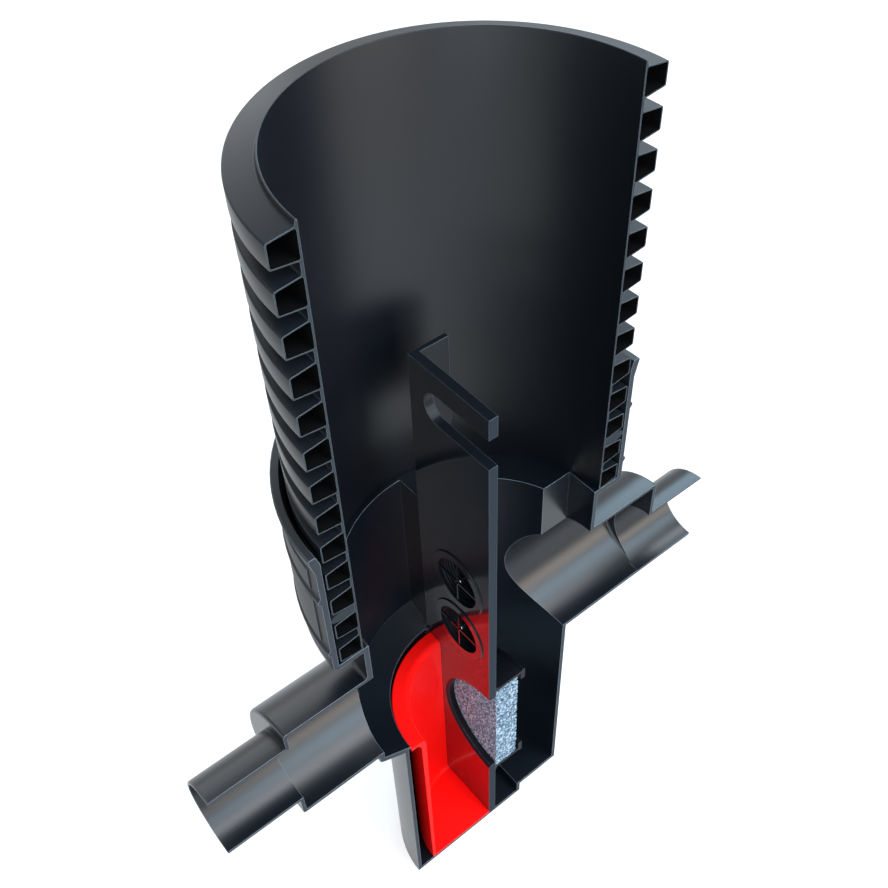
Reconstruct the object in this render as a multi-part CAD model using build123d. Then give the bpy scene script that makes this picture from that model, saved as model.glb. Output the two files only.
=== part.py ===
from build123d import *
import os
from math import cos, radians, sin, sqrt

# Silt trap for a rainwater drain, cut in half on its middle plane as the drawing shows it.
# X runs along the pipes and points to the outlet, Y points into the kept half, Z is up.
# The riser's axis is at X 0, Y 0, and the underside of the sump is at Z 0. All sizes in mm.

# Riser: a smooth liner inside a corrugated skin.
BORE_R = 155.0          # inside radius of the liner
LINER_T = 1.6           # wall of the liner
SKIN_T = 1.1            # wall of the corrugated skin
RIB_DEPTH = 22.7        # depth of the hollow inside a rib
RIB_FOOT = 24.3         # height of that hollow at the liner
RIB_LEAN = 2.75         # how far each flank leans in over the depth
RIB_PITCH = 37.4
RIB_COUNT = 13
RISER_FOOT = 1.8        # liner below the lowest hollow
RISER_LIP = 5.9         # liner above the highest hollow

# Chamber: socket on top, wide inlet drum, narrow sump, two stepped spigots.
LEDGE_Z = 567.0         # top of the ledge that the riser stands on
LEDGE_T = 6.0
SOCKET_PLAY = 2.4       # between the ribs and the socket's bore
SOCKET_T = 6.0
SOCKET_DEPTH = 166.0
RIM_OUT = 4.6           # how far the rim flares
RIM_H = 22.0
RIM_LEAD = 3.2          # lead-in chamfer inside the rim
HOOP_OUT = 2.6          # two hoops round the socket
HOOP_H = 9.0
HOOP_LOW = 25.0         # lower hoop above the ledge
HOOP_HIGH = 61.0        # upper hoop below the socket's top
PAD_OUT = 1.4           # flat pads between the hoops, for a label
PAD_ARC = 34.0          # degrees round the socket
PAD_START = 4.0         # degrees from the cut
DRUM_R = 149.0          # inside radius of the inlet drum
DRUM_T = 6.0
SHOULDER_X = 2.0        # where the drum narrows to the sump's width
SILL_BELOW = 8.0        # from the inlet spigot down to the sill between drum and sump
SILL_DROP = 16.5        # how far it falls towards the sump
SILL_T = 6.0
SILL_LIP = 2.9          # the sill's edge overhangs the sump's wall
SILL_LIP_T = 4.0
SILL_LIP_DROP = 1.5
SUMP_R = 117.5
SUMP_T = 5.0
FLOOR_T = 5.0
STEP_X = 52.0           # the floor steps up behind the partition
STEP_RISE = 19.0
RECESS_HALF = 39.0      # half width of the slot over the outlet
RECESS_T = 5.0
SPIGOT_ROOT = 4.0       # rounding where the inlet spigot leaves the drum

# Spigots for plain drain pipe, 160 mm and 110 mm outside.
PIPE_R = 80.0
PIPE_T = 4.0
SMALL_R = 55.0
SMALL_T = 3.2
INLET_Z = 435.0
INLET_RISE = 3.0        # the small inlet spigot's axis over the large one's
OUTLET_Z = 425.0
STEP_END = 254.0        # end of the large spigots, from the riser's axis
SPIGOT_END = 340.0
SPIGOT_EDGE = 1.2       # chamfer on a spigot's ends
INVERT_FILLET = 3.0     # rounding of the step between the spigots

# Rubber seal between two ribs of the riser.
SEAL_RIB = 2            # it lies above this rib, counted from the foot
SEAL_CLEAR = 0.3
SEAL_LIP_R = 4.4
SEAL_WAIST = 6.2        # half height of the ring near the ribs' crests

# Partition plate that lifts out with all that it carries.
PLATE_X = 0.8           # face on the inlet side
PLATE_T = 10.8
PLATE_PLAY = 0.5        # to the chamber's wall and to each guide
PLATE_TOP = 770.0
SLOT_Z = 725.5          # handle slot
SLOT_R = 19.2
SLOT_REACH = 94.5       # from the cut to the slot's round end
WING_REACH = 45.0       # the return at the plate's edge
WING_T = 5.4
WING_H = 130.0
WING_CORNER = 24.0
GUIDE_T = 4.0
GUIDE_REAR = 7.0        # how far the rear guide stands off the wall
GUIDE_FRONT = 4.5

# Overflow valves: cage, disc and pin, one above the other.
VALVE_Y = 52.5
VALVE_Z = (394.5, 483.0)
VALVE_R = 32.0          # clear bore
CAGE_T = 5.5
CAGE_PLAY = 0.3         # between the cage and its hole in the plate
FLANGE_R = 42.0
FLANGE_T = 1.6
CAGE_BACK = 9.0         # how far the cage stands behind the plate
SPOKE_W = 1.8
SPOKE_T = 2.4
HUB_R = 2.8
THREAD_COUNT = 5
THREAD_OUT = 1.1
THREAD_W = 1.9
PIN_R = 1.5
PIN_PLAY = 0.05
PIN_HEAD_R = 3.6
PIN_HEAD_T = 2.0
DISC_T = 3.0
DISC_LAP = 2.5          # disc over the cage's bore
DISC_HUB_R = 5.5
DISC_HUB_T = 3.0
DISC_SEAT = 0.05
DISC_TRAVEL = 6.0

# Filter: round opening in the plate, foam pad, housing behind the plate.
FILTER_Z = 218.0
FILTER_LAP = 9.5        # foam behind the edge of the plate's opening
FILTER_BEVEL = 3.2
FOAM_GAP = 26.0         # from the foam's edge to the sump's radius
FOAM_T = 35.0
FOAM_EDGE = 5.0
FOAM_CLEAR = 0.5
HOUSING_T = 5.0
HOUSING_LEN = 46.0
HOUSING_FOOT_OUT = 3.5  # foot flange on the plate
HOUSING_FOOT_T = 2.6
HOUSING_BEAD = 2.0
HOUSING_BEAD_L = 4.0
LIP_LAP = 12.5          # the housing's lip that keeps the foam in
LIP_T = 6.5

# Red silt bucket, open towards the plate.
BUCKET_X = -2.0         # axis of its round wall
BUCKET_GAP = 5.7        # from its rim to the sump's wall
BUCKET_DROP = 7.0       # rim below the sill's edge
BUCKET_RIM = 20.5       # width of the rim
BUCKET_RIM_T = 4.0
BUCKET_T = 4.2
BUCKET_GROW = 2.4       # wall is thicker at the top
BUCKET_ROLL = 7.0       # rounding from the rim into the wall
BUCKET_FLOOR_T = 3.2
BUCKET_CORNER = 6.0

LINER_R = BORE_R + LINER_T
SKIN_R = LINER_R + SKIN_T
RIB_R = LINER_R + RIB_DEPTH + SKIN_T
SOCKET_R = RIB_R + SOCKET_PLAY
SOCKET_OUT = SOCKET_R + SOCKET_T
SOCKET_TOP = LEDGE_Z + SOCKET_DEPTH
HOOP_Z = (LEDGE_Z + HOOP_LOW, SOCKET_TOP - HOOP_HIGH)
SILL_Z = INLET_Z - PIPE_R - SILL_BELOW
DRUM_OUT = DRUM_R + DRUM_T
SUMP_OUT = SUMP_R + SUMP_T
RISER_TOP = LEDGE_Z + RISER_FOOT + (RIB_COUNT - 1) * RIB_PITCH + RIB_FOOT + RISER_LIP
PLATE_BACK = PLATE_X + PLATE_T
PLATE_HALF = sqrt(SUMP_R**2 - PLATE_BACK**2) - PLATE_PLAY
CAGE_R = VALVE_R + CAGE_T
CAGE_END = PLATE_BACK + CAGE_BACK
SILL_R = SUMP_R - SILL_LIP
SILL_EDGE = SILL_Z - SILL_DROP - SILL_LIP_DROP
BUCKET_TOP = SILL_EDGE - BUCKET_DROP
BUCKET_RIM_R = SUMP_R - BUCKET_GAP
BUCKET_R = BUCKET_RIM_R - BUCKET_RIM
FOAM_R = SUMP_R - FOAM_GAP
FILTER_R = FOAM_R - FILTER_LAP
LIP_R = FOAM_R - LIP_LAP
HOUSING_IN = FOAM_R + FOAM_CLEAR
HOUSING_OUT = HOUSING_IN + HOUSING_T
HOUSING_END = PLATE_BACK + HOUSING_LEN
FAR = 2 * SPIGOT_END


def ring_face(outer, holes=()):
    """A face in the X-Z plane from (radius, height) points."""
    rim = Wire.make_polygon([(r, 0, z) for r, z in outer])
    return Face(rim, [Wire.make_polygon([(r, 0, z) for r, z in hole]) for hole in holes])


def spin(outer, holes=(), x=0.0):
    """Turns a profile half a turn about an upright axis at x, from +X over +Y to -X."""
    return Pos(x, 0, 0) * revolve(ring_face(outer, holes), Axis.Z, 180)


def lathe(points, y=0.0, z=0.0):
    """Turns (x, radius) points a full turn about a line along X."""
    face = Face(Wire.make_polygon([(x, 0, r) for x, r in points]))
    return Pos(0, y, z) * revolve(face, Axis.X, 360)


def block(x0, x1, y0, y1, z0, z1):
    return Pos((x0 + x1) / 2, (y0 + y1) / 2, (z0 + z1) / 2) * Box(x1 - x0, y1 - y0, z1 - z0)


def rod(radius, x0, x1, y=0.0, z=0.0):
    return Pos((x0 + x1) / 2, y, z) * Rot(0, 90, 0) * Cylinder(radius, abs(x1 - x0))


def kept_half(shape):
    return shape & block(-FAR, FAR, 0, FAR, -FAR, 4 * FAR)


def arc_points(cx, cz, radius, a0, a1, steps):
    """Points on an arc in the X-Z plane, angles in degrees from +X."""
    return [(cx + radius * cos(radians(a0 + (a1 - a0) * k / steps)),
             cz + radius * sin(radians(a0 + (a1 - a0) * k / steps))) for k in range(steps + 1)]


def riser():
    lean = RIB_LEAN / RIB_DEPTH
    outer = [(BORE_R, LEDGE_Z), (SKIN_R, LEDGE_Z)]
    hollows = []
    for i in range(RIB_COUNT):
        low = LEDGE_Z + RISER_FOOT + i * RIB_PITCH
        high = low + RIB_FOOT
        root = lean * SKIN_T
        crest = lean * (RIB_DEPTH + SKIN_T)
        outer += [(SKIN_R, low - SKIN_T + root), (RIB_R, low - SKIN_T + crest),
                  (RIB_R, high + SKIN_T - crest), (SKIN_R, high + SKIN_T - root)]
        hollows.append([(LINER_R, low), (LINER_R + RIB_DEPTH, low + RIB_LEAN),
                        (LINER_R + RIB_DEPTH, high - RIB_LEAN), (LINER_R, high)])
    outer += [(LINER_R, RISER_TOP), (BORE_R, RISER_TOP)]
    return spin(outer, hollows)


def seal():
    low = LEDGE_Z + RISER_FOOT + (SEAL_RIB - 1) * RIB_PITCH + RIB_FOOT + SKIN_T
    high = low - RIB_FOOT - 2 * SKIN_T + RIB_PITCH
    mid = (low + high) / 2
    half = (high - low) / 2 - SEAL_CLEAR
    root = SKIN_R + SEAL_CLEAR
    tip = SOCKET_R - SEAL_CLEAR
    waist = tip - 2 * SEAL_LIP_R
    lip = arc_points(tip - SEAL_LIP_R, mid, SEAL_LIP_R, -75, 75, 10)
    return spin([(root, mid - half), (waist, mid - SEAL_WAIST)] + lip
                + [(waist, mid + SEAL_WAIST), (root, mid + half)])


def socket_shell():
    """The socket's outside with its flared rim and two hoops, as a solid."""
    base = LEDGE_Z - LEDGE_T
    side = [(0, base), (SOCKET_OUT - 4, base), (SOCKET_OUT, base + 4)]
    for z in HOOP_Z:
        side += [(SOCKET_OUT, z - HOOP_H / 2), (SOCKET_OUT + HOOP_OUT, z - HOOP_H / 6),
                 (SOCKET_OUT + HOOP_OUT, z + HOOP_H / 6), (SOCKET_OUT, z + HOOP_H / 2)]
    side += [(SOCKET_OUT, SOCKET_TOP - RIM_H), (SOCKET_OUT + RIM_OUT, SOCKET_TOP - 3),
             (SOCKET_OUT + RIM_OUT, SOCKET_TOP - 1), (SOCKET_OUT + RIM_OUT - 1, SOCKET_TOP),
             (0, SOCKET_TOP)]
    return spin(side)


def label_pads():
    """Low pads on the socket between and above the hoops, on the inlet side."""
    gap = HOOP_H * 0.8
    spans = [(HOOP_Z[0] + gap, HOOP_Z[1] - gap), (HOOP_Z[1] + gap, SOCKET_TOP - RIM_H - 3)]
    pads = []
    for low, high in spans:
        out = SOCKET_OUT + PAD_OUT
        ring = ring_face([(SOCKET_R + 1, low), (SOCKET_OUT, low), (out, low + 1.5),
                          (out, high - 1.5), (SOCKET_OUT, high), (SOCKET_R + 1, high)])
        pads.append(Rot(0, 0, 180 - PAD_START - PAD_ARC) * revolve(ring, Axis.Z, PAD_ARC))
    return pads


def chamber_outside():
    sill_under = SILL_Z - SILL_T
    drum = spin([(0, 0), (SUMP_OUT, 0), (SUMP_OUT, sill_under - SILL_DROP),
                 (DRUM_OUT - 3, sill_under), (DRUM_OUT, sill_under + 3),
                 (DRUM_OUT, LEDGE_Z - LEDGE_T), (0, LEDGE_Z - LEDGE_T)])
    drum &= block(-FAR, SHOULDER_X + DRUM_T, -FAR, FAR, -FAR, FAR)
    sump = spin([(0, 0), (SUMP_OUT, 0), (SUMP_OUT, LEDGE_Z), (0, LEDGE_Z)])
    recess = block(0, DRUM_R + RECESS_T, 0, RECESS_HALF + RECESS_T, OUTLET_Z, LEDGE_Z)
    return [drum, sump, recess]


def spigot(side, axis_z, small_z):
    """A stepped spigot's outside; side is -1 for the inlet and 1 for the outlet."""
    e = SPIGOT_EDGE
    f = INVERT_FILLET
    large = [(side * SUMP_R * 0.8, 0), (side * SUMP_R * 0.8, PIPE_R), (side * (STEP_END - f), PIPE_R),
             (side * (STEP_END - 0.3 * f), PIPE_R - 0.3 * f), (side * STEP_END, PIPE_R - f),
             (side * STEP_END, 0)]
    small = [(side * (STEP_END - f), 0), (side * (STEP_END - f), SMALL_R),
             (side * (SPIGOT_END - e), SMALL_R), (side * SPIGOT_END, SMALL_R - e), (side * SPIGOT_END, 0)]
    return [lathe(large, z=axis_z), lathe(small, z=small_z)]


def spigot_bore(side, axis_z, small_z):
    deep = STEP_END - PIPE_T
    large = lathe([(side * SUMP_R * 0.75, 0), (side * SUMP_R * 0.75, PIPE_R - PIPE_T),
                   (side * (deep - 2), PIPE_R - PIPE_T), (side * deep, PIPE_R - PIPE_T - 2),
                   (side * deep, 0)], z=axis_z)
    small = rod(SMALL_R - SMALL_T, side * (deep - 5), side * (SPIGOT_END + 5), z=small_z)
    return [large, small]


def chamber_inside():
    socket = spin([(0, LEDGE_Z), (SOCKET_R, LEDGE_Z), (SOCKET_R, SOCKET_TOP - RIM_H / 2),
                   (SOCKET_R + RIM_LEAD, SOCKET_TOP), (SOCKET_R + RIM_LEAD, SOCKET_TOP + 5),
                   (0, SOCKET_TOP + 5)])
    drum = spin([(0, SILL_Z), (0, LEDGE_Z + 1), (DRUM_R, LEDGE_Z + 1), (DRUM_R, SILL_Z),
                 (SUMP_R, SILL_Z - SILL_DROP), (0, SILL_Z - SILL_DROP)])
    drum &= block(-FAR, SHOULDER_X, -FAR, FAR, -FAR, FAR)
    sump = spin([(0, FLOOR_T), (SUMP_R, FLOOR_T), (SUMP_R, LEDGE_Z + 1), (0, LEDGE_Z + 1)])
    sump -= block(STEP_X, FAR, -FAR, FAR, -FAR, FLOOR_T + STEP_RISE)
    recess = block(0, DRUM_R, -1, RECESS_HALF, OUTLET_Z, LEDGE_Z + 1)
    return [socket, drum, sump, recess]


def sill_lip():
    """The sill's edge, which overhangs the sump's wall in front of the plate's guide."""
    under = SILL_EDGE - SILL_LIP_T
    ring = spin([(SILL_R, under), (SUMP_R + 1, under), (SUMP_R + 1, SILL_EDGE + SILL_LIP_DROP),
                 (SUMP_R, SILL_EDGE + SILL_LIP_DROP), (SILL_R, SILL_EDGE)])
    return ring & block(-FAR, PLATE_X - PLATE_PLAY - GUIDE_T / 2, -FAR, FAR, -FAR, FAR)


def guides():
    """Upright ribs on the wall that the plate slides between."""
    wall = SUMP_R + SUMP_T / 2
    front = block(PLATE_X - PLATE_PLAY - GUIDE_T, PLATE_X - PLATE_PLAY, SUMP_R - GUIDE_FRONT, wall,
                  FLOOR_T, SILL_EDGE)
    rear = block(PLATE_BACK + PLATE_PLAY, PLATE_BACK + PLATE_PLAY + GUIDE_T, SUMP_R - GUIDE_REAR, wall,
                 FLOOR_T, LEDGE_Z)
    return [front, rear]


def chamber():
    inlet = (-1, INLET_Z, INLET_Z + INLET_RISE)
    outlet = (1, OUTLET_Z, OUTLET_Z - PIPE_R + SMALL_R)
    body = socket_shell()
    for piece in label_pads() + chamber_outside() + spigot(*inlet) + spigot(*outlet):
        body += piece
    body = kept_half(body)
    root = body.edges().filter_by(GeomType.BSPLINE).group_by(Axis.X)[0]
    body = fillet(root, SPIGOT_ROOT)
    for void in chamber_inside() + spigot_bore(*inlet) + spigot_bore(*outlet):
        body -= void
    body -= block(STEP_X + FLOOR_T, FAR, -1, FAR, -1, STEP_RISE)
    for rib in guides() + [sill_lip()]:
        body += rib
    return body


def plate():
    body = block(PLATE_X, PLATE_BACK, 0, PLATE_HALF, FLOOR_T, PLATE_TOP)
    wing = block(PLATE_X, PLATE_X + WING_REACH, PLATE_HALF - WING_T, PLATE_HALF,
                 PLATE_TOP - WING_H, PLATE_TOP)
    far_edges = wing.edges().filter_by(Axis.Y).group_by(Axis.X)[-1]
    wing = fillet(far_edges.sort_by(Axis.Z)[0], WING_CORNER)
    body += wing
    slot_mid = SLOT_REACH - SLOT_R
    body -= rod(SLOT_R, -FAR, FAR, y=slot_mid, z=SLOT_Z)
    body -= block(-FAR, PLATE_BACK + 1, -1, slot_mid, SLOT_Z - SLOT_R, SLOT_Z + SLOT_R)
    for z in VALVE_Z:
        body -= rod(CAGE_R + CAGE_PLAY, -FAR, FAR, y=VALVE_Y, z=z)
    mouth = FILTER_R + FILTER_BEVEL
    body -= lathe([(PLATE_X - 1, 0), (PLATE_X - 1, mouth + 1), (PLATE_X, mouth),
                   (PLATE_X + FILTER_BEVEL, FILTER_R), (PLATE_BACK + 1, FILTER_R), (PLATE_BACK + 1, 0)],
                  z=FILTER_Z)
    return body


def valve_cage(z):
    front = PLATE_X - FLANGE_T
    turned = [(front, VALVE_R), (front, FLANGE_R - 1), (front + 1, FLANGE_R), (PLATE_X, FLANGE_R),
              (PLATE_X, CAGE_R), (CAGE_END - 1, CAGE_R), (CAGE_END, CAGE_R - 1), (CAGE_END, VALVE_R)]
    first = PLATE_X + SPOKE_T - 0.5
    pitch = (CAGE_END - first - THREAD_W) / THREAD_COUNT
    for k in range(THREAD_COUNT):
        x = CAGE_END - THREAD_W - k * pitch
        turned += [(x, VALVE_R), (x - THREAD_W / 2, VALVE_R - THREAD_OUT), (x - THREAD_W, VALVE_R)]
    body = lathe(turned, y=VALVE_Y, z=z)
    web = PLATE_X - FLANGE_T / 2
    for angle in (0, 90):
        spoke = block(web, web + SPOKE_T, -VALVE_R - 1, VALVE_R + 1, -SPOKE_W / 2, SPOKE_W / 2)
        body += Pos(0, VALVE_Y, z) * Rot(angle, 0, 0) * spoke
    body += rod(HUB_R, web, web + SPOKE_T, y=VALVE_Y, z=z)
    return body - rod(PIN_R + PIN_PLAY, -FAR, FAR, y=VALVE_Y, z=z)


def valve_pin(z):
    """Stem with a domed shoulder behind the cage's hub and a stop at its far end."""
    web = PLATE_X - FLANGE_T / 2
    back = web + SPOKE_T
    stop = CAGE_END + DISC_SEAT + DISC_T + DISC_HUB_T + DISC_TRAVEL
    points = [(web - 1, 0), (web - 1, PIN_R), (back + PIN_PLAY, PIN_R), (back + PIN_PLAY, PIN_HEAD_R),
              (back + 2, PIN_HEAD_R), (back + 3.4, PIN_R + 1), (back + 3.8, PIN_R), (stop, PIN_R),
              (stop, PIN_HEAD_R), (stop + PIN_HEAD_T - 0.8, PIN_HEAD_R), (stop + PIN_HEAD_T, PIN_R + 1),
              (stop + PIN_HEAD_T, 0)]
    return lathe(points, y=VALVE_Y, z=z)


def valve_disc(z):
    x = CAGE_END + DISC_SEAT
    r = VALVE_R + DISC_LAP
    bore = PIN_R + PIN_PLAY
    points = [(x, bore), (x, r - 0.8), (x + 0.8, r), (x + DISC_T - 0.8, r), (x + DISC_T, r - 0.8),
              (x + DISC_T, DISC_HUB_R), (x + DISC_T + DISC_HUB_T, DISC_HUB_R),
              (x + DISC_T + DISC_HUB_T, bore)]
    return lathe(points, y=VALVE_Y, z=z)


def filter_housing():
    foot = PLATE_BACK + HOUSING_FOOT_T
    bead = HOUSING_END - HOUSING_BEAD_L
    lip = HOUSING_END - LIP_T
    points = [(PLATE_BACK, HOUSING_IN), (PLATE_BACK, HOUSING_OUT + HOUSING_FOOT_OUT),
              (foot, HOUSING_OUT + HOUSING_FOOT_OUT), (foot, HOUSING_OUT), (bead - 2, HOUSING_OUT),
              (bead, HOUSING_OUT + HOUSING_BEAD), (HOUSING_END - 1, HOUSING_OUT + HOUSING_BEAD),
              (HOUSING_END, HOUSING_OUT + HOUSING_BEAD - 1), (HOUSING_END, LIP_R),
              (lip + 1, LIP_R), (lip, LIP_R + 1.5), (lip, HOUSING_IN)]
    return kept_half(lathe(points, z=FILTER_Z))


def filter_foam():
    x = PLATE_BACK + FOAM_CLEAR
    rounding = arc_points(x + FOAM_T - FOAM_EDGE, FOAM_R - FOAM_EDGE, FOAM_EDGE, 90, 0, 4)
    points = [(x, 0), (x, FOAM_R - 1), (x + 1, FOAM_R)] + rounding + [(x + FOAM_T, 0)]
    return kept_half(lathe(points, z=FILTER_Z))


def bucket():
    """Round wall with a rolled rim and a floor, cut off flat where it meets the plate."""
    top = BUCKET_TOP
    under = top - BUCKET_RIM_T
    wall = BUCKET_R + BUCKET_T
    roll = arc_points(BUCKET_R + BUCKET_ROLL, top - BUCKET_ROLL, BUCKET_ROLL, 90, 180, 4)
    corner = arc_points(BUCKET_R - BUCKET_CORNER, FLOOR_T + BUCKET_FLOOR_T + BUCKET_CORNER, BUCKET_CORNER,
                        0, -90, 4)
    profile = [(0, FLOOR_T), (wall - 3, FLOOR_T), (wall, FLOOR_T + 3), (wall + BUCKET_GROW, under - 8),
               (wall + BUCKET_GROW + 5, under), (BUCKET_RIM_R, under), (BUCKET_RIM_R, top - 1),
               (BUCKET_RIM_R - 1, top)] + roll + corner + [(0, FLOOR_T + BUCKET_FLOOR_T)]
    return spin(profile, x=BUCKET_X) & block(-FAR, PLATE_X, -FAR, FAR, -FAR, FAR)


def save(name, shape):
    shape.label = name
    export_step(shape, os.path.join("parts", name + ".step"))


def main():
    os.makedirs("parts", exist_ok=True)
    save("chamber", chamber())
    save("riser_pipe", riser())
    save("riser_seal", seal())
    save("partition_plate", plate())
    for name, z in zip(("lower", "upper"), VALVE_Z):
        save("valve_cage_" + name, valve_cage(z))
        save("valve_pin_" + name, valve_pin(z))
        save("valve_disc_" + name, valve_disc(z))
    save("filter_housing", filter_housing())
    save("filter_foam", filter_foam())
    save("silt_bucket", bucket())


main()
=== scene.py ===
from math import radians

import bmesh
import bpy
import numpy as np
from mathutils import Matrix, Vector
from mathutils.geometry import tessellate_polygon


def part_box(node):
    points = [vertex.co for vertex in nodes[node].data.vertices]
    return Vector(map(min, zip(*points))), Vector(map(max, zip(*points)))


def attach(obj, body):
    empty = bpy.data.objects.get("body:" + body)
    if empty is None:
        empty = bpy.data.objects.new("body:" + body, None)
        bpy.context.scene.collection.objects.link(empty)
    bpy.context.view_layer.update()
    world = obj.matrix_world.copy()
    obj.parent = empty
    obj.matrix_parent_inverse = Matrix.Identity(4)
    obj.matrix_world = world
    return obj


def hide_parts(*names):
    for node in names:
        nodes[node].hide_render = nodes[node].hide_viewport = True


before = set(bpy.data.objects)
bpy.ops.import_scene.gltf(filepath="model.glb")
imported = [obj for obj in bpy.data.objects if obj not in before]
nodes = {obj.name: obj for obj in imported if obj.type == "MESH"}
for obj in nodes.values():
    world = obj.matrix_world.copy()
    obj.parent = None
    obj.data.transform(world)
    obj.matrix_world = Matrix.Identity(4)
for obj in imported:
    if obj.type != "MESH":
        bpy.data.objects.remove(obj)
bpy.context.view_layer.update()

# Chamber: one rotational moulding in black polyethylene, with the socket for the riser on top,
# the wide inlet drum and the narrow sump below, and a stepped spigot on each side. It is sawn
# through the middle, so the wall shows as a cut strip. The skin is satin, and matt on the socket.
CHAMBER_BLACK = (0.002, 0.004, 0.007)
CHAMBER_CUT = (0.004, 0.009, 0.016)
CHAMBER_GRAIN_HEIGHT = 0.00005
SOCKET_FOOT = 0.569             # height where the socket begins, just above the ledge
SOCKET_MATT = 0.25              # its skin is rougher by this
SAWN = 0.0002                   # what is nearer to the plane of the cut than this is sawn
SAW_ROUGHNESS = 0.4             # a sawn face is rougher by this
CLOUD_DETAIL = 4
GRAIN_DETAIL = 2
EDGE_SAMPLES = 6
PAINTED_EDGE_HIGHLIGHT = (0.30, 0.36, 0.42)     # colour of the painted highlight on an edge
EDGE_HIGHLIGHT_STARTS = 0.995              # soft normal . true normal where the painted highlight starts
EDGE_HIGHLIGHT_FULL = 0.85                 # and where it is full
AIR_SAMPLES = 4
AIR_REACH = 2                   # edge radii within which something shades an edge
AIR_CLOSED = 0.8                # share of open air at which an edge counts as shaded
AIR_OPEN = 0.98                 # and at which it stands proud
POLISHED_FACE = 0.9             # a face looks along X where its normal's X is over this
POLISH_ROUGHNESS = 0.3          # roughness of the clear gloss, as a share of the plastic's


def feed(tree, slot, value):
    """Links a socket to an input, or sets the input to a plain value."""
    if isinstance(value, bpy.types.NodeSocket):
        tree.links.new(value, slot)
    else:
        slot.default_value = value


def maths(tree, operation, *values):
    """The result of a math node on one to three values, each a socket or a number."""
    node = tree.nodes.new("ShaderNodeMath")
    node.operation = operation
    for slot, value in zip(node.inputs, values):
        feed(tree, slot, value)
    return node.outputs[0]


def component(tree, vector, axis):
    """The X, Y or Z of a vector."""
    apart = tree.nodes.new("ShaderNodeSeparateXYZ")
    tree.links.new(vector, apart.inputs[0])
    return apart.outputs[axis]


def ramped(tree, value, low, high, top=1.0):
    """0 where the value is at low and top where it is at high, straight between them and held beyond."""
    ramp = tree.nodes.new("ShaderNodeMapRange")
    for label, number in (("Value", value), ("From Min", low), ("From Max", high), ("To Max", top)):
        feed(tree, ramp.inputs[label], number)
    return ramp.outputs["Result"]


def mixed(tree, share, first, second):
    """The first colour where the share is 0, the second where it is 1."""
    mix = tree.nodes.new("ShaderNodeMix")
    mix.data_type = "RGBA"
    for label, value in (("Factor", share), ("A", first), ("B", second)):
        feed(tree, mix.inputs[label], value)
    return mix.outputs["Result"]


def moulded_surface_group():
    """Satin skin of moulded plastic: fine grain for the bump, cloudy gloss, and a faint drift of tone.
    Tone = Colour times 1 + Drift x (cloud - 0.5), gloss = Roughness + Cloudiness x (cloud - 0.5).
    Where the saw went, at y below SAWN, it turns to Cut Colour and is rougher by SAW_ROUGHNESS."""
    group = bpy.data.node_groups.new("moulded_surface", "ShaderNodeTree")
    taken = ("Colour", "Cut Colour", "Drift", "Roughness", "Cloudiness", "Cloud Scale", "Grain Scale")
    for way, labels in (("INPUT", taken), ("OUTPUT", ("Colour", "Roughness", "Height", "Skin"))):
        for label in labels:
            kind = "NodeSocketColor" if label.endswith("Colour") else "NodeSocketFloat"
            group.interface.new_socket(label, in_out=way, socket_type=kind)
    given, out, place, cloud, grain, tone = (group.nodes.new(kind) for kind in (
        "NodeGroupInput", "NodeGroupOutput", "ShaderNodeTexCoord", "ShaderNodeTexNoise",
        "ShaderNodeTexNoise", "ShaderNodeVectorMath"))
    for texture, scale, detail in ((cloud, "Cloud Scale", CLOUD_DETAIL),
                                   (grain, "Grain Scale", GRAIN_DETAIL)):
        texture.inputs["Detail"].default_value = detail
        group.links.new(place.outputs["Object"], texture.inputs["Vector"])
        group.links.new(given.outputs[scale], texture.inputs["Scale"])
    centred = maths(group, "SUBTRACT", cloud.outputs["Fac"], 0.5)
    tone.operation = "SCALE"
    group.links.new(given.outputs["Colour"], tone.inputs[0])
    group.links.new(maths(group, "MULTIPLY_ADD", centred, given.outputs["Drift"], 1.0), tone.inputs["Scale"])
    gloss = maths(group, "MULTIPLY_ADD", centred, given.outputs["Cloudiness"], given.outputs["Roughness"])
    sawn = maths(group, "LESS_THAN", component(group, place.outputs["Object"], "Y"), SAWN)
    for label, value in (("Colour", mixed(group, sawn, tone.outputs[0], given.outputs["Cut Colour"])),
                         ("Roughness", maths(group, "MULTIPLY_ADD", sawn, SAW_ROUGHNESS, gloss)),
                         ("Height", grain.outputs["Fac"]),
                         ("Skin", maths(group, "SUBTRACT", 1.0, sawn))):
        group.links.new(value, out.inputs[label])
    return group


moulded_surface = moulded_surface_group()


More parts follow.
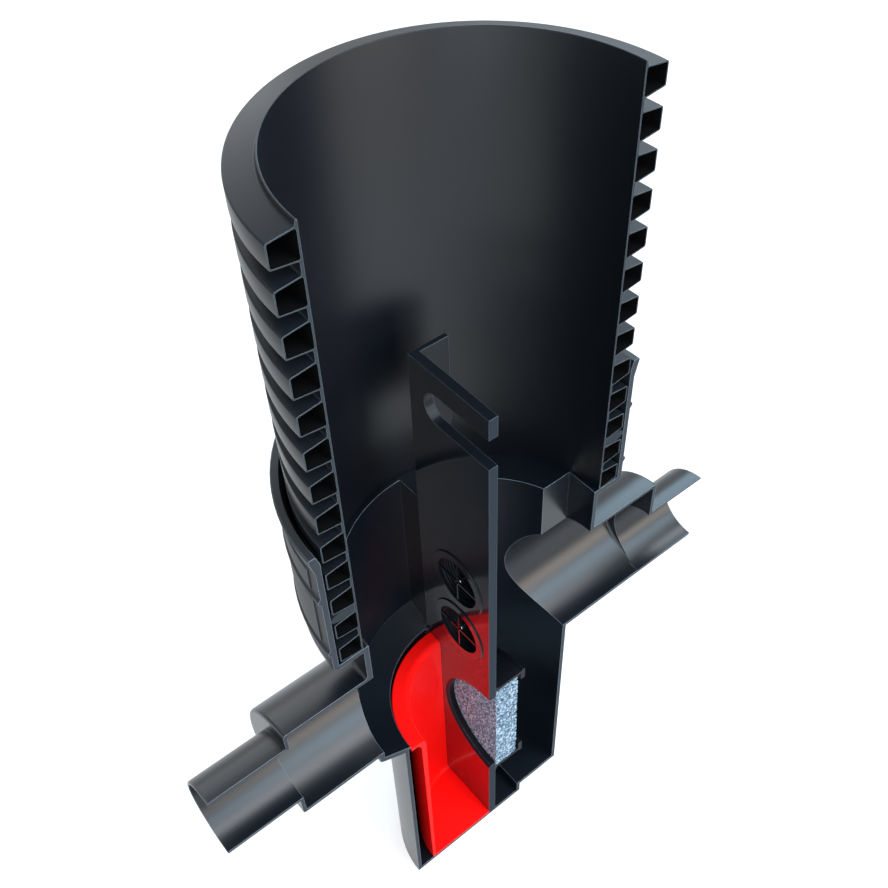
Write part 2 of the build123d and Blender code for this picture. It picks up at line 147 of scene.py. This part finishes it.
def moulded_plastic(name, colour, roughness, drift=0.25, cloudiness=0.1, cloud=9.0, grain=900.0,
                    height=0.00004, ior=1.5, edge=0.0009, cut=None, polish=0.0, edge_highlight_share=0.0):
    """A plastic whose tone, gloss and grain come from the moulded surface group, with its edges softened
    to the given radius. Cloud and grain are counts per metre. A painted highlight pales the edges that
    stand proud, by 1 - (soft normal . true normal) where nothing near shades them. Polish adds a clear
    mirror gloss of that index on the faces that look along X, but not on edges and sawn faces."""
    made = bpy.data.materials.new(name)
    made.use_nodes = True
    tree = made.node_tree
    shader = tree.nodes["Principled BSDF"]
    skin, bump, soft_edge, facing, turned, open_air = (tree.nodes.new("ShaderNode" + kind) for kind in (
        "Group", "Bump", "Bevel", "NewGeometry", "VectorMath", "AmbientOcclusion"))
    skin.node_tree = moulded_surface
    for label, value in (("Colour", (*colour, 1)), ("Cut Colour", (*(cut or colour), 1)), ("Drift", drift),
                         ("Roughness", roughness), ("Cloudiness", cloudiness), ("Cloud Scale", cloud),
                         ("Grain Scale", grain)):
        skin.inputs[label].default_value = value
    shader.inputs["IOR"].default_value = ior
    if polish:
        place = tree.nodes.new("ShaderNodeTexCoord")
        sideways = maths(tree, "ABSOLUTE", component(tree, place.outputs["Normal"], "X"))
        face = maths(tree, "GREATER_THAN", sideways, POLISHED_FACE)
        shader.inputs["Coat IOR"].default_value = polish
        shader.inputs["Coat Roughness"].default_value = POLISH_ROUGHNESS * roughness
        tree.links.new(maths(tree, "MULTIPLY", face, skin.outputs["Skin"]), shader.inputs["Coat Weight"])
    soft_edge.samples = EDGE_SAMPLES
    soft_edge.inputs["Radius"].default_value = edge
    turned.operation = "DOT_PRODUCT"
    tree.links.new(facing.outputs["True Normal"], turned.inputs[0])
    tree.links.new(soft_edge.outputs["Normal"], turned.inputs[1])
    open_air.samples, open_air.only_local = AIR_SAMPLES, True
    open_air.inputs["Distance"].default_value = AIR_REACH * edge
    # painted highlight: the proud edges are paled in the base colour
    highlight_share = ramped(tree, turned.outputs["Value"], EDGE_HIGHLIGHT_STARTS, EDGE_HIGHLIGHT_FULL, edge_highlight_share)
    proud = ramped(tree, open_air.outputs["AO"], AIR_CLOSED, AIR_OPEN)
    highlighted_colour = mixed(tree, maths(tree, "MULTIPLY", highlight_share, proud), skin.outputs["Colour"], (*PAINTED_EDGE_HIGHLIGHT, 1))
    tree.links.new(highlighted_colour, shader.inputs["Base Color"])
    tree.links.new(skin.outputs["Roughness"], shader.inputs["Roughness"])
    bump.inputs["Distance"].default_value = height
    tree.links.new(skin.outputs["Height"], bump.inputs["Height"])
    tree.links.new(soft_edge.outputs["Normal"], bump.inputs["Normal"])
    tree.links.new(bump.outputs["Normal"], shader.inputs["Normal"])
    return made


def matt_socket(material):
    """Roughens the skin above SOCKET_FOOT by SOCKET_MATT, but not the sawn faces."""
    tree = material.node_tree
    gloss = tree.nodes["Principled BSDF"].inputs["Roughness"]
    satin = gloss.links[0].from_socket
    place = tree.nodes.new("ShaderNodeTexCoord")
    above = maths(tree, "GREATER_THAN", component(tree, place.outputs["Object"], "Z"), SOCKET_FOOT)
    uncut = maths(tree, "MULTIPLY", above, satin.node.outputs["Skin"])
    tree.links.new(maths(tree, "MULTIPLY_ADD", uncut, SOCKET_MATT, satin), gloss)


def paint(node, material):
    """Gives a carried-over piece its material."""
    node.data.materials.clear()
    node.data.materials.append(material)


# The chamber's proud edges carry a painted highlight.
chamber_plastic = moulded_plastic("chamber_plastic", CHAMBER_BLACK, 0.30, height=CHAMBER_GRAIN_HEIGHT,
                                  ior=1.45, edge=0.0010, cut=CHAMBER_CUT, edge_highlight_share=0.6)
matt_socket(chamber_plastic)
paint(nodes["chamber"], chamber_plastic)

# Riser: a smooth black liner welded inside a corrugated skin, extruded together, so each rib is
# hollow. The saw has opened every rib, which shows its thin wall around a hollow painted near black
# as painted shade. The bore is shinier than the ribs, and painted darker than them as painted shade.
riser_low, riser_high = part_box("riser_pipe")
RISER_BORE = 0.155
LINER = 0.0016
SKIN = 0.0011
RIB_HOLLOW = riser_high.x - RISER_BORE - LINER - SKIN
RIB_FOOT = 0.0243
RIB_LEAN = 0.00275              # each flank leans in by this over the hollow's depth
RIB_PITCH = 0.0374
RIBS = 13
RIB_START = 0.0018              # liner below the lowest hollow
RIB_ROUND = 0.0018              # radius of the outside's corners
HOLLOW_ROUND = 0.0016
HALF_TURN_STEPS = 120
RISER_WELD = 1e-7
RISER_SLIVER = 1e-8
CRISP = radians(34.0)           # edges bent by more than this aren't smoothed
RISER_BLACK = (0.006, 0.008, 0.011)
RISER_CUT = (0.022, 0.028, 0.034)
# the bore's black, darker than the ribs by painted shade
LINER_BLACK_WITH_PAINTED_SHADE = (0.0012, 0.0022, 0.0042)
# painted shade inside the rib hollows
HOLLOW_PAINTED_SHADE = (0.0018, 0.0018, 0.002)


def rounded(corners, radius, steps=3):
    """A closed outline with each corner replaced by an arc that touches both its sides.
    The arc starts at corner + t u and ends at corner + t v, where u and v point along the sides and
    t = radius / tan(half the corner's angle), at most 0.45 of the shorter side."""
    p = np.asarray(corners, float)
    u, v = np.roll(p, 1, 0) - p, np.roll(p, -1, 0) - p
    lu, lv = np.linalg.norm(u, axis=1), np.linalg.norm(v, axis=1)
    u, v = u / lu[:, None], v / lv[:, None]
    half = np.arccos(np.clip((u * v).sum(1), -0.9999, 0.9999)) / 2
    t = np.minimum(radius / np.tan(half), 0.45 * np.minimum(lu, lv))
    centre = p + (u + v) / np.linalg.norm(u + v, axis=1)[:, None] * (t / np.cos(half))[:, None]
    start, end = p + t[:, None] * u - centre, p + t[:, None] * v - centre
    turn = (np.pi - 2 * half)[:, None, None]
    s = np.linspace(0, 1, steps + 1)[None, :, None]
    arc = (np.sin((1 - s) * turn) * start[:, None] + np.sin(s * turn) * end[:, None]) / np.sin(turn)
    return (centre[:, None] + arc).reshape(-1, 2)


def riser_outlines():
    """The cut wall of the riser: its outside with every rib, then the hollow of each rib."""
    liner, skin = RISER_BORE + LINER, RISER_BORE + LINER + SKIN
    crest = skin + RIB_HOLLOW
    flare = RIB_LEAN / (RIB_HOLLOW + SKIN) * SKIN
    outside, hollows = [(RISER_BORE, riser_low.z), (skin, riser_low.z)], []
    for low in riser_low.z + RIB_START + RIB_PITCH * np.arange(RIBS):
        high = low + RIB_FOOT
        outside += [(skin, low - SKIN + flare), (crest, low - SKIN + RIB_LEAN + flare),
                    (crest, high + SKIN - RIB_LEAN - flare), (skin, high + SKIN - flare)]
        hollows.append(rounded([(liner, low), (liner + RIB_HOLLOW, low + RIB_LEAN),
                                (liner + RIB_HOLLOW, high - RIB_LEAN), (liner, high)], HOLLOW_ROUND))
    outside += [(liner, riser_high.z), (RISER_BORE, riser_high.z)]
    return [rounded(outside, RIB_ROUND)] + hollows


def weld(mesh, distance, sliver=0.0):
    """Joins points nearer than the distance, takes out edges shorter than sliver and turns faces outwards."""
    work = bmesh.new()
    work.from_mesh(mesh)
    bmesh.ops.remove_doubles(work, verts=work.verts, dist=distance)
    if sliver:
        bmesh.ops.dissolve_degenerate(work, edges=work.edges, dist=sliver)
    bmesh.ops.recalc_face_normals(work, faces=work.faces)
    work.to_mesh(mesh)
    work.free()


def in_scene(name, data):
    """A new object with the given mesh, lamp or camera."""
    made = bpy.data.objects.new(name, data)
    bpy.context.scene.collection.objects.link(made)
    return made


def turned_solid(name, rings, angles):
    """A solid made by turning closed outlines (radius, height) about the riser's axis through the angles t:
    point = (radius cos t, radius sin t, height). The first outline is the outside. The others are hollows
    that run right through, in the piece's second material. The ends are closed flat."""
    count, first, points, faces, slots = len(angles), 0, [], [], []
    for ring in rings:
        radius, height = ring[:, :1], ring[:, 1:]
        xyz = np.broadcast_arrays(radius * np.cos(angles), radius * np.sin(angles), height)
        points.append(np.stack(xyz, -1).reshape(-1, 3))
        here = first + np.arange(len(ring))[:, None] * count + np.arange(count - 1)[None, :]
        after = np.roll(here, -1, 0)
        faces += np.stack([here, after, after + 1, here + 1], -1).reshape(-1, 4).tolist()
        slots += [min(first, 1)] * (len(faces) - len(slots))
        first += len(ring) * count
    lid = np.array(tessellate_polygon([[Vector((*corner, 0)) for corner in ring] for ring in rings]))
    faces += (lid * count).tolist() + (lid * count + count - 1).tolist()
    slots += [0] * (len(faces) - len(slots))
    mesh = bpy.data.meshes.new(name)
    mesh.from_pydata(np.concatenate(points), [], faces)
    mesh.polygons.foreach_set("material_index", np.array(slots, np.int32))
    weld(mesh, RISER_WELD, sliver=RISER_SLIVER)
    mesh.polygons.foreach_set("use_smooth", np.ones(len(mesh.polygons), bool))
    mesh.set_sharp_from_angle(angle=CRISP)
    return in_scene(name, mesh)


def line_bore(piece):
    """Gives the bore the third material: its faces' middles lie nearer to the axis than RISER_BORE."""
    count = len(piece.data.polygons)
    middles, slots = np.empty(3 * count, np.float32), np.empty(count, np.int32)
    piece.data.polygons.foreach_get("center", middles)
    piece.data.polygons.foreach_get("material_index", slots)
    slots[np.hypot(middles[0::3], middles[1::3]) < RISER_BORE] = 2
    piece.data.polygons.foreach_set("material_index", slots)


def dress(piece, body, slot, material, *stands_for):
    """Gives a new piece its material and its body, and hides the nodes that it stands for. Its slot is not
    used.
    """
    piece.data.materials.append(material)
    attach(piece, body)
    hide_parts(*stands_for)
    return piece


# The riser's proud edges carry a painted highlight.
riser_plastic = moulded_plastic("riser_plastic", RISER_BLACK, 0.32, drift=0.2, cloud=5.0, grain=700.0,
                                ior=1.22, edge=0.0006, cut=RISER_CUT, edge_highlight_share=0.4)
# The bore is painted darker than the ribs: painted shade.
liner_plastic = moulded_plastic("liner_plastic", LINER_BLACK_WITH_PAINTED_SHADE, 0.36, drift=0.2, cloud=5.0, grain=700.0,
                                ior=1.42, edge=0.0006)
# The rib hollows are painted near black: painted shade.
hollow_painted_shade = moulded_plastic("hollow_painted_shade", HOLLOW_PAINTED_SHADE, 0.9, ior=1.15, edge=0.0002)
riser = turned_solid("riser", riser_outlines(), np.linspace(0, np.pi, HALF_TURN_STEPS + 1))
dress(riser, "chamber", "riser_black", riser_plastic, "riser_pipe")
riser.data.materials.append(hollow_painted_shade)
riser.data.materials.append(liner_plastic)
line_bore(riser)

# Riser seal: one soft rubber ring, laid between two ribs. Its rounded lip fills the gap between
# the ribs and the socket's bore.
SEAL_GREY = (0.016, 0.020, 0.025)
seal_rubber = moulded_plastic("seal_rubber", SEAL_GREY, 0.5, drift=0.3, grain=1500.0, ior=1.3)
paint(nodes["riser_seal"], seal_rubber)

# Partition plate: one polished black sheet with a handle slot, a return along its edge and round
# openings for the valves and the filter. It stands in guides and lifts out with all that it carries.
PLATE_BLACK = (0.004, 0.006, 0.009)
PLATE_CUT = (0.008, 0.014, 0.022)
# The plate's proud edges carry a painted highlight.
plate_gloss = moulded_plastic("plate_gloss", PLATE_BLACK, 0.3, drift=0.2, cloudiness=0.06, cloud=14.0,
                              grain=500.0, height=0.000004, ior=1.25, edge=0.0008, cut=PLATE_CUT,
                              polish=2.0, edge_highlight_share=0.3)
paint(nodes["partition_plate"], plate_gloss)

# Overflow valves: black cages with thin crossed spokes and turned grooves in the bore, each with a
# pin behind its hub and a flat disc that rides on the pin and closes the cage's far end. The pin's
# front end is painted black as painted shade, which hides its glint, and its steel shows from the hub on.
VALVE_BLACK = (0.005, 0.006, 0.008)
CAGE_BLACK = (0.006, 0.008, 0.011)
PIN_STEEL = (0.80, 0.84, 0.90)
PIN_PAINTED_SHADE = (0.01, 0.012, 0.014)
HUB_BACK = 0.0022


def paint_shade_in_front(metal):
    """Makes the material a metal, painted black in front of HUB_BACK as painted shade that hides its glint
    there.
    """
    tree = metal.node_tree
    shader = tree.nodes["Principled BSDF"]
    shader.inputs["Metallic"].default_value = 1.0
    bare = shader.inputs["Base Color"].links[0].from_socket
    place = tree.nodes.new("ShaderNodeTexCoord")
    behind = maths(tree, "GREATER_THAN", component(tree, place.outputs["Object"], "X"), HUB_BACK)
    tree.links.new(mixed(tree, behind, (*PIN_PAINTED_SHADE, 1), bare), shader.inputs["Base Color"])


valve_plastic = moulded_plastic("valve_plastic", VALVE_BLACK, 0.2, cloudiness=0.08, grain=1200.0,
                                height=0.00001, ior=1.25, edge=0.0004)
cage_gloss = moulded_plastic("cage_gloss", CAGE_BLACK, 0.24, cloudiness=0.06, grain=1200.0,
                             height=0.000006, ior=1.25, edge=0.0003, polish=2.3)
pin_steel = moulded_plastic("pin_steel", PIN_STEEL, 0.22, drift=0.1, grain=2500.0, height=0.00001)
# painted shade: the pin is black in front of the hub
paint_shade_in_front(pin_steel)
for side in ("lower", "upper"):
    paint(nodes["valve_cage_" + side], cage_gloss)
    paint(nodes["valve_disc_" + side], valve_plastic)
    paint(nodes["valve_pin_" + side], pin_steel)

# Filter: a black housing behind the plate with a turned lip, holding a coarse foam pad. The foam is
# glued from pale grains, so its whole skin is pitted, and the saw has left the same grains bare.
paint(nodes["filter_housing"], valve_plastic)
foam_low, foam_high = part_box("filter_foam")
FOAM_R = foam_high.y
FOAM_MIDDLE = (foam_low.z + foam_high.z) / 2
FOAM_EDGE = 0.005               # rounding at the back
FOAM_STEP = 0.001               # grid of the skin
FOAM_WELD = 1e-5
FOAM_ROUGHNESS = 0.75
FOAM_SHEEN = 0.3
FOAM_TONES = ((0.0, (0.095, 0.17, 0.25)), (0.5, (0.26, 0.39, 0.50)), (1.0, (0.56, 0.655, 0.72)))
# painted shade in the pits between grains
FOAM_PIT_PAINTED_SHADE = (0.02, 0.035, 0.06)
GRAIN = 0.0027                  # lattice cell that holds one grain
GRAIN_PIT = 0.0012              # depth between grains
GRAIN_CORE = 0.25               # cells from a grain's middle where the pit starts
GRAIN_SLOPE = 0.55              # cells over which it reaches its depth
GRAIN_SEED = 7
GRAIN_TABLE = 4096              # different cells, before they repeat
GRAIN_STRIDES = (7349, 9157, 3571)  # steps in that table to the next cell in X, Y and Z


def pad_point(x, a, v):
    """The pad as a bent block: height = R sin a and depth = v R cos a, so v = 0 is the cut and v = 1 the rim.
    Its back edge is rounded to k = FOAM_EDGE. P and q say how much nearer than k a point is to the rim
    and to the back, and both are multiplied by k / length of (p, q) where that length is over k."""
    y, z = v * FOAM_R * np.cos(a) + 0 * x, FOAM_R * np.sin(a) + 0 * x + 0 * v
    x = x + 0 * y
    radius = np.hypot(y, z)
    k = FOAM_EDGE
    p, q = np.maximum(k - (FOAM_R - radius), 0), np.maximum(k - (foam_high.x - x), 0)
    pull = np.where((p > 0) & (q > 0), np.minimum(k / np.maximum(np.hypot(p, q), 1e-9), 1), 1)
    shrink = (FOAM_R - k + pull * p) / np.maximum(FOAM_R - k + p, 1e-9)
    shrink = np.where(p > 0, shrink, 1)
    return np.stack([x - q * (1 - pull), y * shrink, z * shrink + FOAM_MIDDLE], -1)


def grains(points, size):
    """Scatters one point in every cell of a cubic lattice. Gives each place its distance to the nearest
    of them, in cells, and that point's own number from 0 to 1."""
    table = np.random.default_rng(GRAIN_SEED).random((GRAIN_TABLE, 4))
    place = points / size
    cell = np.floor(place).astype(int)
    nearest, number = np.full(len(points), np.inf), np.zeros(len(points))
    for shift in np.ndindex(3, 3, 3):
        home = cell + shift - 1
        own = table[(home @ GRAIN_STRIDES) % GRAIN_TABLE]
        away = np.linalg.norm(place - home - own[:, :3], axis=1)
        number = np.where(away < nearest, own[:, 3], number)
        nearest = np.minimum(nearest, away)
    return nearest, number


def foam_pad():
    """The four sides of the bent block welded to one closed skin, whose points then sink along their
    normals by GRAIN_PIT x pit. Pit = (distance to the nearest grain - GRAIN_CORE) / GRAIN_SLOPE, held in
    0 to 1."""
    across = np.linspace(foam_low.x, foam_high.x, round((foam_high.x - foam_low.x) / FOAM_STEP) + 1)
    upward = np.linspace(-np.pi / 2, np.pi / 2, round(np.pi * FOAM_R / FOAM_STEP) + 1)
    inward = np.linspace(0, 1, round(FOAM_R / FOAM_STEP) + 1)
    sides = [pad_point(x, upward[:, None], inward[None, :]) for x in (foam_low.x, foam_high.x)]
    sides += [pad_point(across[:, None], upward[None, :], v) for v in (0.0, 1.0)]
    points, faces, first = [], [], 0
    for side in sides:
        rows, columns = side.shape[:2]
        here = first + (np.arange(rows - 1)[:, None] * columns + np.arange(columns - 1)[None, :])
        faces += np.stack([here, here + 1, here + columns + 1, here + columns], -1).reshape(-1, 4).tolist()
        points.append(side.reshape(-1, 3))
        first += rows * columns
    mesh = bpy.data.meshes.new("foam")
    mesh.from_pydata(np.concatenate(points), [], faces)
    weld(mesh, FOAM_WELD)
    count = len(mesh.vertices)
    place, normal = np.empty(count * 3, np.float32), np.empty(count * 3, np.float32)
    mesh.vertices.foreach_get("co", place)
    mesh.vertex_normals.foreach_get("vector", normal)
    place, normal = place.reshape(-1, 3), normal.reshape(-1, 3)
    nearest, number = grains(place.astype(float), GRAIN)
    pit = np.clip((nearest - GRAIN_CORE) / GRAIN_SLOPE, 0, 1)
    sunk = place - normal * (GRAIN_PIT * pit)[:, None]
    mesh.vertices.foreach_set("co", sunk.astype(np.float32).ravel())
    for label, values in (("pit", pit), ("tone", number)):
        mesh.attributes.new(label, "FLOAT", "POINT").data.foreach_set("value", values.astype(np.float32))
    mesh.update()
    return in_scene("foam", mesh)


def foam_material():
    """Grain colour runs from slate to pale blue grey with the grain's own number. The pit darkens it with
    painted shade.
    """
    made = bpy.data.materials.new("foam_grains")
    made.use_nodes = True
    tree = made.node_tree
    shader = tree.nodes["Principled BSDF"]
    shader.inputs["Roughness"].default_value = FOAM_ROUGHNESS
    shader.inputs["Specular IOR Level"].default_value = FOAM_SHEEN
    tone, pit = (tree.nodes.new("ShaderNodeAttribute") for _ in range(2))
    tone.attribute_name, pit.attribute_name = "tone", "pit"
    grain = tree.nodes.new("ShaderNodeValToRGB")
    stops = grain.color_ramp.elements
    stops.new(0.5)
    for stop, (at, colour) in zip(stops, FOAM_TONES):
        stop.position, stop.color = at, (*colour, 1)
    tree.links.new(tone.outputs["Fac"], grain.inputs["Fac"])
    # painted shade: the pit darkens the grain colour
    shade = mixed(tree, pit.outputs["Fac"], grain.outputs["Color"], (*FOAM_PIT_PAINTED_SHADE, 1))
    tree.links.new(shade, shader.inputs["Base Color"])
    return made


foam = dress(foam_pad(), "insert", "foam_grey", foam_material(), "filter_foam")

# Silt bucket: a red injection-moulded half-round bucket with a rolled rim. It stands on the sump's
# floor, open towards the plate, and catches what sinks.
BUCKET_RED = (0.92, 0.005, 0.004)
bucket_plastic = moulded_plastic("bucket_plastic", BUCKET_RED, 0.3, drift=0.06, cloudiness=0.06,
                                 grain=1100.0, height=0.00002, ior=1.29)
paint(nodes["silt_bucket"], bucket_plastic)

# Floor: a pale seamless sweep of paper under the trap, seen lighter than it lights. It keeps the
# trap's soft shadow.
FLOOR_REACH = 15.0
FLOOR_DROP = 0.0005
FLOOR_GREY = 0.40
FLOOR_ROUGHNESS = 0.9
SEEN_GLOW = 0.68                # added where the camera, or a gloss, looks straight at the paper
floor_mesh = bpy.data.meshes.new("floor")
corners = np.array([(-1, -1, 0), (1, -1, 0), (1, 1, 0), (-1, 1, 0)]) * FLOOR_REACH
floor_mesh.from_pydata(corners - (0, 0, FLOOR_DROP), [], [(0, 1, 2, 3)])
floor = in_scene("floor", floor_mesh)


def seen(tree):
    """1 for what the camera sees, straight, mirrored or through something clear, 0 for light that falls."""
    rays = tree.nodes.new("ShaderNodeLightPath")
    either = maths(tree, "MAXIMUM", rays.outputs["Is Glossy Ray"], rays.outputs["Is Transmission Ray"])
    return maths(tree, "MAXIMUM", either, rays.outputs["Is Camera Ray"])


paper = bpy.data.materials.new("floor_paper")
paper.use_nodes = True
tree = paper.node_tree
sheet = tree.nodes["Principled BSDF"]
sheet.inputs["Base Color"].default_value = (FLOOR_GREY, FLOOR_GREY, FLOOR_GREY, 1)
sheet.inputs["Roughness"].default_value = FLOOR_ROUGHNESS
sheet.inputs["Specular IOR Level"].default_value = 0.0
glow, both = (tree.nodes.new("ShaderNode" + kind) for kind in ("Emission", "AddShader"))
tree.links.new(maths(tree, "MULTIPLY", seen(tree), SEEN_GLOW), glow.inputs["Strength"])
tree.links.new(sheet.outputs[0], both.inputs[0])
tree.links.new(glow.outputs[0], both.inputs[1])
tree.links.new(both.outputs[0], tree.nodes["Material Output"].inputs["Surface"])
floor_mesh.materials.append(paper)

# Studio light: a white room for what is seen, a dimmer bluish one for the light that it gives, and
# soft panels: three keys one above the other in front, which the half pipes mirror, a window beside
# the camera, two behind, one that shines down the riser from the right, and a fill from the left.
ROOM_TINT = (0.80, 0.90, 1.0)
ROOM_LIGHT = 0.25
LAMP_MIDDLE = Vector((0, 0.08, 0.55))
LAMP_REACH = 3.6                # from the middle of the trap to each panel
world = bpy.data.worlds.new("studio")
bpy.context.scene.world = world
world.use_nodes = True
tree = world.node_tree
room = tree.nodes["Background"]
white, mix = (tree.nodes.new("ShaderNode" + kind) for kind in ("Background", "MixShader"))
white.inputs["Color"].default_value = (1, 1, 1, 1)
room.inputs["Color"].default_value = (*ROOM_TINT, 1)
room.inputs["Strength"].default_value = ROOM_LIGHT
tree.links.new(seen(tree), mix.inputs["Fac"])
tree.links.new(room.outputs[0], mix.inputs[1])
tree.links.new(white.outputs[0], mix.inputs[2])
tree.links.new(mix.outputs[0], tree.nodes["World Output"].inputs["Surface"])

# name, direction from the middle, width and height, watts, tint
for name, toward, size, power, tint in (
        ("warm_key", (0.38, -0.90, 0.22), (2.9, 1.1), 68.0, (1.0, 0.88, 0.76)),
        ("cool_key", (0.33, -0.72, 0.62), (2.9, 1.5), 112.0, (0.64, 0.84, 1.0)),
        ("high_key", (0.17, -0.42, 0.89), (2.8, 1.3), 90.0, (0.94, 0.96, 1.0)),
        ("window", (-0.51, -0.79, 0.34), (2.2, 1.6), 78.0, (0.88, 0.94, 1.0)),
        ("back", (0.11, 0.88, 0.47), (1.8, 2.6), 26.0, (0.90, 0.95, 1.0)),
        ("back_right", (0.62, 0.52, 0.59), (1.3, 1.9), 62.0, (0.56, 0.82, 1.0)),
        ("riser", (0.62, 0.02, 0.78), (1.0, 1.0), 30.0, (0.82, 0.92, 1.0)),
        ("fill", (-0.85, -0.35, 0.40), (1.5, 1.5), 16.0, (0.90, 0.95, 1.0))):
    lamp = bpy.data.lights.new(name, "AREA")
    lamp.shape, lamp.energy = "RECTANGLE", power
    lamp.size, lamp.size_y = size
    lamp.color = tint
    holder = in_scene(name, lamp)
    holder.location = LAMP_MIDDLE + Vector(toward).normalized() * LAMP_REACH
    holder.rotation_euler = Vector(toward).to_track_quat("Z", "Y").to_euler()

# Camera: at the photograph's viewing angle, looking down into the riser from the cut side, with
# its lens shifted so that the trap stands where it does in the photograph.
CAMERA_AT = Vector((-0.43983, -0.51794, 1.44957))
CAMERA_RIGHT = Vector((0.75532, -0.65528, 0.00998))
CAMERA_UP = Vector((0.48583, 0.57010, 0.66254))
camera_data = bpy.data.cameras.new("camera")
camera_data.lens = 44.767
camera_data.sensor_width = 36.0
camera_data.shift_x = -0.06786
camera_data.shift_y = 0.05122
camera = in_scene("camera", camera_data)
axes = Matrix((CAMERA_RIGHT, CAMERA_UP, CAMERA_RIGHT.cross(CAMERA_UP))).transposed()
camera.matrix_world = Matrix.Translation(CAMERA_AT) @ axes.to_4x4()
bpy.context.scene.camera = camera
bpy.context.scene.view_settings.view_transform = "Standard"
